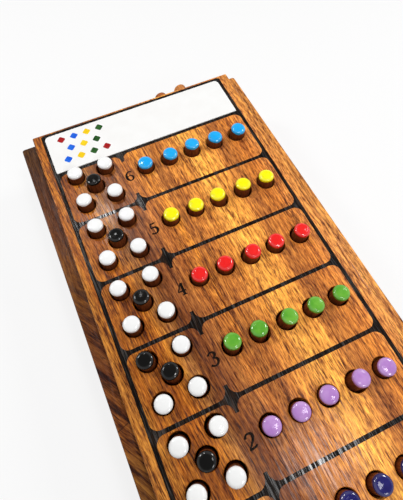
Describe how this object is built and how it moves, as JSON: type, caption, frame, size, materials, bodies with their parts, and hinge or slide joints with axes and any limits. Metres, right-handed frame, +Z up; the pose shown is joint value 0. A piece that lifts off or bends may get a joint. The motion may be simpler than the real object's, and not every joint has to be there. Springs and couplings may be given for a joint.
{
  "type": "code breaking peg game",
  "caption": "Wooden code breaking board with loose painted pegs in bored rows, a scoring block beside each row, on a tray that the board slides out of.",
  "frame": {"origin": "centre of the tray's flat underside", "axes": "+X across the board from the scoring pegs to the code pegs, +Y along the board from row 1 to the title plate, which is also the way the board slides out, +Z up"},
  "size_m": [0.1142, 0.2222, 0.0394],
  "materials": {
    "board_wood": "clear lacquered, semi-gloss",
    "tray_wood": "clear lacquered, semi-gloss",
    "plate_white": "glossy white",
    "peg_navy": "dark dowel with a gloss painted head",
    "peg_purple": "dark dowel with a gloss painted head",
    "peg_green": "dark dowel with a gloss painted head",
    "peg_red": "dark dowel with a gloss painted head",
    "peg_yellow": "dark dowel with a gloss painted head",
    "peg_skyblue": "dark dowel with a gloss painted head",
    "peg_white": "dark dowel with a gloss painted head",
    "peg_black": "dark dowel with a gloss painted head"
  },
  "bodies": {
    "tray": {"peg_tray": "tray_wood"},
    "board": {"playing_board": "board_wood", "title_plate": "plate_white"},
    "code_peg_navy_1": {"code_peg_navy_1": "peg_navy"},
    "code_peg_navy_2": {"code_peg_navy_2": "peg_navy"},
    "code_peg_navy_3": {"code_peg_navy_3": "peg_navy"},
    "code_peg_navy_4": {"code_peg_navy_4": "peg_navy"},
    "code_peg_navy_5": {"code_peg_navy_5": "peg_navy"},
    "code_peg_purple_1": {"code_peg_purple_1": "peg_purple"},
    "code_peg_purple_2": {"code_peg_purple_2": "peg_purple"},
    "code_peg_purple_3": {"code_peg_purple_3": "peg_purple"},
    "code_peg_purple_4": {"code_peg_purple_4": "peg_purple"},
    "code_peg_purple_5": {"code_peg_purple_5": "peg_purple"},
    "score_peg_row2_far_left": {"score_peg_row2_far_left": "peg_white"},
    "score_peg_row2_far_right": {"score_peg_row2_far_right": "peg_white"},
    "score_peg_row2_centre": {"score_peg_row2_centre": "peg_black"},
    "score_peg_row2_near_left": {"score_peg_row2_near_left": "peg_white"},
    "score_peg_row2_near_right": {"score_peg_row2_near_right": "peg_white"},
    "code_peg_green_1": {"code_peg_green_1": "peg_green"},
    "code_peg_green_2": {"code_peg_green_2": "peg_green"},
    "code_peg_green_3": {"code_peg_green_3": "peg_green"},
    "code_peg_green_4": {"code_peg_green_4": "peg_green"},
    "code_peg_green_5": {"code_peg_green_5": "peg_green"},
    "score_peg_row3_far_left": {"score_peg_row3_far_left": "peg_black"},
    "score_peg_row3_far_right": {"score_peg_row3_far_right": "peg_white"},
    "score_peg_row3_centre": {"score_peg_row3_centre": "peg_black"},
    "score_peg_row3_near_left": {"score_peg_row3_near_left": "peg_white"},
    "score_peg_row3_near_right": {"score_peg_row3_near_right": "peg_white"},
    "code_peg_red_1": {"code_peg_red_1": "peg_red"},
    "code_peg_red_2": {"code_peg_red_2": "peg_red"},
    "code_peg_red_3": {"code_peg_red_3": "peg_red"},
    "code_peg_red_4": {"code_peg_red_4": "peg_red"},
    "code_peg_red_5": {"code_peg_red_5": "peg_red"},
    "score_peg_row4_far_left": {"score_peg_row4_far_left": "peg_white"},
    "score_peg_row4_far_right": {"score_peg_row4_far_right": "peg_white"},
    "score_peg_row4_centre": {"score_peg_row4_centre": "peg_black"},
    "score_peg_row4_near_left": {"score_peg_row4_near_left": "peg_white"},
    "score_peg_row4_near_right": {"score_peg_row4_near_right": "peg_white"},
    "code_peg_yellow_1": {"code_peg_yellow_1": "peg_yellow"},
    "code_peg_yellow_2": {"code_peg_yellow_2": "peg_yellow"},
    "code_peg_yellow_3": {"code_peg_yellow_3": "peg_yellow"},
    "code_peg_yellow_4": {"code_peg_yellow_4": "peg_yellow"},
    "code_peg_yellow_5": {"code_peg_yellow_5": "peg_yellow"},
    "score_peg_row5_far_left": {"score_peg_row5_far_left": "peg_white"},
    "score_peg_row5_far_right": {"score_peg_row5_far_right": "peg_white"},
    "score_peg_row5_centre": {"score_peg_row5_centre": "peg_black"},
    "score_peg_row5_near_left": {"score_peg_row5_near_left": "peg_white"},
    "score_peg_row5_near_right": {"score_peg_row5_near_right": "peg_white"},
    "code_peg_skyblue_1": {"code_peg_skyblue_1": "peg_skyblue"},
    "code_peg_skyblue_2": {"code_peg_skyblue_2": "peg_skyblue"},
    "code_peg_skyblue_3": {"code_peg_skyblue_3": "peg_skyblue"},
    "code_peg_skyblue_4": {"code_peg_skyblue_4": "peg_skyblue"},
    "code_peg_skyblue_5": {"code_peg_skyblue_5": "peg_skyblue"},
    "score_peg_row6_far_left": {"score_peg_row6_far_left": "peg_white"},
    "score_peg_row6_far_right": {"score_peg_row6_far_right": "peg_white"},
    "score_peg_row6_centre": {"score_peg_row6_centre": "peg_black"},
    "score_peg_row6_near_left": {"score_peg_row6_near_left": "peg_white"},
    "score_peg_row6_near_right": {"score_peg_row6_near_right": "peg_white"},
    "secret_peg_3": {"secret_peg_3": "peg_green"},
    "secret_peg_4": {"secret_peg_4": "peg_red"}
  },
  "joints": [
    {"name": "board_slide", "type": "slide", "parent": "tray", "child": "board", "axis": [0, 1, 0], "range_m": [0, 0.208]},
    {"name": "code_peg_navy_1_lift", "type": "slide", "parent": "board", "child": "code_peg_navy_1", "axis": [0, 0, 1], "range_m": [0, 0.0125]},
    {"name": "code_peg_navy_2_lift", "type": "slide", "parent": "board", "child": "code_peg_navy_2", "axis": [0, 0, 1], "range_m": [0, 0.0125]},
    {"name": "code_peg_navy_3_lift", "type": "slide", "parent": "board", "child": "code_peg_navy_3", "axis": [0, 0, 1], "range_m": [0, 0.0125]},
    {"name": "code_peg_navy_4_lift", "type": "slide", "parent": "board", "child": "code_peg_navy_4", "axis": [0, 0, 1], "range_m": [0, 0.0125]},
    {"name": "code_peg_navy_5_lift", "type": "slide", "parent": "board", "child": "code_peg_navy_5", "axis": [0, 0, 1], "range_m": [0, 0.0125]},
    {"name": "code_peg_purple_1_lift", "type": "slide", "parent": "board", "child": "code_peg_purple_1", "axis": [0, 0, 1], "range_m": [0, 0.0125]},
    {"name": "code_peg_purple_2_lift", "type": "slide", "parent": "board", "child": "code_peg_purple_2", "axis": [0, 0, 1], "range_m": [0, 0.0125]},
    {"name": "code_peg_purple_3_lift", "type": "slide", "parent": "board", "child": "code_peg_purple_3", "axis": [0, 0, 1], "range_m": [0, 0.0125]},
    {"name": "code_peg_purple_4_lift", "type": "slide", "parent": "board", "child": "code_peg_purple_4", "axis": [0, 0, 1], "range_m": [0, 0.0125]},
    {"name": "code_peg_purple_5_lift", "type": "slide", "parent": "board", "child": "code_peg_purple_5", "axis": [0, 0, 1], "range_m": [0, 0.0125]},
    {"name": "score_peg_row2_far_left_lift", "type": "slide", "parent": "board", "child": "score_peg_row2_far_left", "axis": [0, 0, 1], "range_m": [0, 0.0125]},
    {"name": "score_peg_row2_far_right_lift", "type": "slide", "parent": "board", "child": "score_peg_row2_far_right", "axis": [0, 0, 1], "range_m": [0, 0.0125]},
    {"name": "score_peg_row2_centre_lift", "type": "slide", "parent": "board", "child": "score_peg_row2_centre", "axis": [0, 0, 1], "range_m": [0, 0.0125]},
    {"name": "score_peg_row2_near_left_lift", "type": "slide", "parent": "board", "child": "score_peg_row2_near_left", "axis": [0, 0, 1], "range_m": [0, 0.0125]},
    {"name": "score_peg_row2_near_right_lift", "type": "slide", "parent": "board", "child": "score_peg_row2_near_right", "axis": [0, 0, 1], "range_m": [0, 0.0125]},
    {"name": "code_peg_green_1_lift", "type": "slide", "parent": "board", "child": "code_peg_green_1", "axis": [0, 0, 1], "range_m": [0, 0.0125]},
    {"name": "code_peg_green_2_lift", "type": "slide", "parent": "board", "child": "code_peg_green_2", "axis": [0, 0, 1], "range_m": [0, 0.0125]},
    {"name": "code_peg_green_3_lift", "type": "slide", "parent": "board", "child": "code_peg_green_3", "axis": [0, 0, 1], "range_m": [0, 0.0125]},
    {"name": "code_peg_green_4_lift", "type": "slide", "parent": "board", "child": "code_peg_green_4", "axis": [0, 0, 1], "range_m": [0, 0.0125]},
    {"name": "code_peg_green_5_lift", "type": "slide", "parent": "board", "child": "code_peg_green_5", "axis": [0, 0, 1], "range_m": [0, 0.0125]},
    {"name": "score_peg_row3_far_left_lift", "type": "slide", "parent": "board", "child": "score_peg_row3_far_left", "axis": [0, 0, 1], "range_m": [0, 0.0125]},
    {"name": "score_peg_row3_far_right_lift", "type": "slide", "parent": "board", "child": "score_peg_row3_far_right", "axis": [0, 0, 1], "range_m": [0, 0.0125]},
    {"name": "score_peg_row3_centre_lift", "type": "slide", "parent": "board", "child": "score_peg_row3_centre", "axis": [0, 0, 1], "range_m": [0, 0.0125]},
    {"name": "score_peg_row3_near_left_lift", "type": "slide", "parent": "board", "child": "score_peg_row3_near_left", "axis": [0, 0, 1], "range_m": [0, 0.0125]},
    {"name": "score_peg_row3_near_right_lift", "type": "slide", "parent": "board", "child": "score_peg_row3_near_right", "axis": [0, 0, 1], "range_m": [0, 0.0125]},
    {"name": "code_peg_red_1_lift", "type": "slide", "parent": "board", "child": "code_peg_red_1", "axis": [0, 0, 1], "range_m": [0, 0.0125]},
    {"name": "code_peg_red_2_lift", "type": "slide", "parent": "board", "child": "code_peg_red_2", "axis": [0, 0, 1], "range_m": [0, 0.0125]},
    {"name": "code_peg_red_3_lift", "type": "slide", "parent": "board", "child": "code_peg_red_3", "axis": [0, 0, 1], "range_m": [0, 0.0125]},
    {"name": "code_peg_red_4_lift", "type": "slide", "parent": "board", "child": "code_peg_red_4", "axis": [0, 0, 1], "range_m": [0, 0.0125]},
    {"name": "code_peg_red_5_lift", "type": "slide", "parent": "board", "child": "code_peg_red_5", "axis": [0, 0, 1], "range_m": [0, 0.0125]},
    {"name": "score_peg_row4_far_left_lift", "type": "slide", "parent": "board", "child": "score_peg_row4_far_left", "axis": [0, 0, 1], "range_m": [0, 0.0125]},
    {"name": "score_peg_row4_far_right_lift", "type": "slide", "parent": "board", "child": "score_peg_row4_far_right", "axis": [0, 0, 1], "range_m": [0, 0.0125]},
    {"name": "score_peg_row4_centre_lift", "type": "slide", "parent": "board", "child": "score_peg_row4_centre", "axis": [0, 0, 1], "range_m": [0, 0.0125]},
    {"name": "score_peg_row4_near_left_lift", "type": "slide", "parent": "board", "child": "score_peg_row4_near_left", "axis": [0, 0, 1], "range_m": [0, 0.0125]},
    {"name": "score_peg_row4_near_right_lift", "type": "slide", "parent": "board", "child": "score_peg_row4_near_right", "axis": [0, 0, 1], "range_m": [0, 0.0125]},
    {"name": "code_peg_yellow_1_lift", "type": "slide", "parent": "board", "child": "code_peg_yellow_1", "axis": [0, 0, 1], "range_m": [0, 0.0125]},
    {"name": "code_peg_yellow_2_lift", "type": "slide", "parent": "board", "child": "code_peg_yellow_2", "axis": [0, 0, 1], "range_m": [0, 0.0125]},
    {"name": "code_peg_yellow_3_lift", "type": "slide", "parent": "board", "child": "code_peg_yellow_3", "axis": [0, 0, 1], "range_m": [0, 0.0125]},
    {"name": "code_peg_yellow_4_lift", "type": "slide", "parent": "board", "child": "code_peg_yellow_4", "axis": [0, 0, 1], "range_m": [0, 0.0125]},
    {"name": "code_peg_yellow_5_lift", "type": "slide", "parent": "board", "child": "code_peg_yellow_5", "axis": [0, 0, 1], "range_m": [0, 0.0125]},
    {"name": "score_peg_row5_far_left_lift", "type": "slide", "parent": "board", "child": "score_peg_row5_far_left", "axis": [0, 0, 1], "range_m": [0, 0.0125]},
    {"name": "score_peg_row5_far_right_lift", "type": "slide", "parent": "board", "child": "score_peg_row5_far_right", "axis": [0, 0, 1], "range_m": [0, 0.0125]},
    {"name": "score_peg_row5_centre_lift", "type": "slide", "parent": "board", "child": "score_peg_row5_centre", "axis": [0, 0, 1], "range_m": [0, 0.0125]},
    {"name": "score_peg_row5_near_left_lift", "type": "slide", "parent": "board", "child": "score_peg_row5_near_left", "axis": [0, 0, 1], "range_m": [0, 0.0125]},
    {"name": "score_peg_row5_near_right_lift", "type": "slide", "parent": "board", "child": "score_peg_row5_near_right", "axis": [0, 0, 1], "range_m": [0, 0.0125]},
    {"name": "code_peg_skyblue_1_lift", "type": "slide", "parent": "board", "child": "code_peg_skyblue_1", "axis": [0, 0, 1], "range_m": [0, 0.0125]},
    {"name": "code_peg_skyblue_2_lift", "type": "slide", "parent": "board", "child": "code_peg_skyblue_2", "axis": [0, 0, 1], "range_m": [0, 0.0125]},
    {"name": "code_peg_skyblue_3_lift", "type": "slide", "parent": "board", "child": "code_peg_skyblue_3", "axis": [0, 0, 1], "range_m": [0, 0.0125]},
    {"name": "code_peg_skyblue_4_lift", "type": "slide", "parent": "board", "child": "code_peg_skyblue_4", "axis": [0, 0, 1], "range_m": [0, 0.0125]},
    {"name": "code_peg_skyblue_5_lift", "type": "slide", "parent": "board", "child": "code_peg_skyblue_5", "axis": [0, 0, 1], "range_m": [0, 0.0125]},
    {"name": "score_peg_row6_far_left_lift", "type": "slide", "parent": "board", "child": "score_peg_row6_far_left", "axis": [0, 0, 1], "range_m": [0, 0.0125]},
    {"name": "score_peg_row6_far_right_lift", "type": "slide", "parent": "board", "child": "score_peg_row6_far_right", "axis": [0, 0, 1], "range_m": [0, 0.0125]},
    {"name": "score_peg_row6_centre_lift", "type": "slide", "parent": "board", "child": "score_peg_row6_centre", "axis": [0, 0, 1], "range_m": [0, 0.0125]},
    {"name": "score_peg_row6_near_left_lift", "type": "slide", "parent": "board", "child": "score_peg_row6_near_left", "axis": [0, 0, 1], "range_m": [0, 0.0125]},
    {"name": "score_peg_row6_near_right_lift", "type": "slide", "parent": "board", "child": "score_peg_row6_near_right", "axis": [0, 0, 1], "range_m": [0, 0.0125]},
    {"name": "secret_peg_3_pull", "type": "slide", "parent": "board", "child": "secret_peg_3", "axis": [0, 1, 0], "range_m": [-0.00295, 0.0085]},
    {"name": "secret_peg_4_pull", "type": "slide", "parent": "board", "child": "secret_peg_4", "axis": [0, 1, 0], "range_m": [-0.00405, 0.0074]}
  ]
}
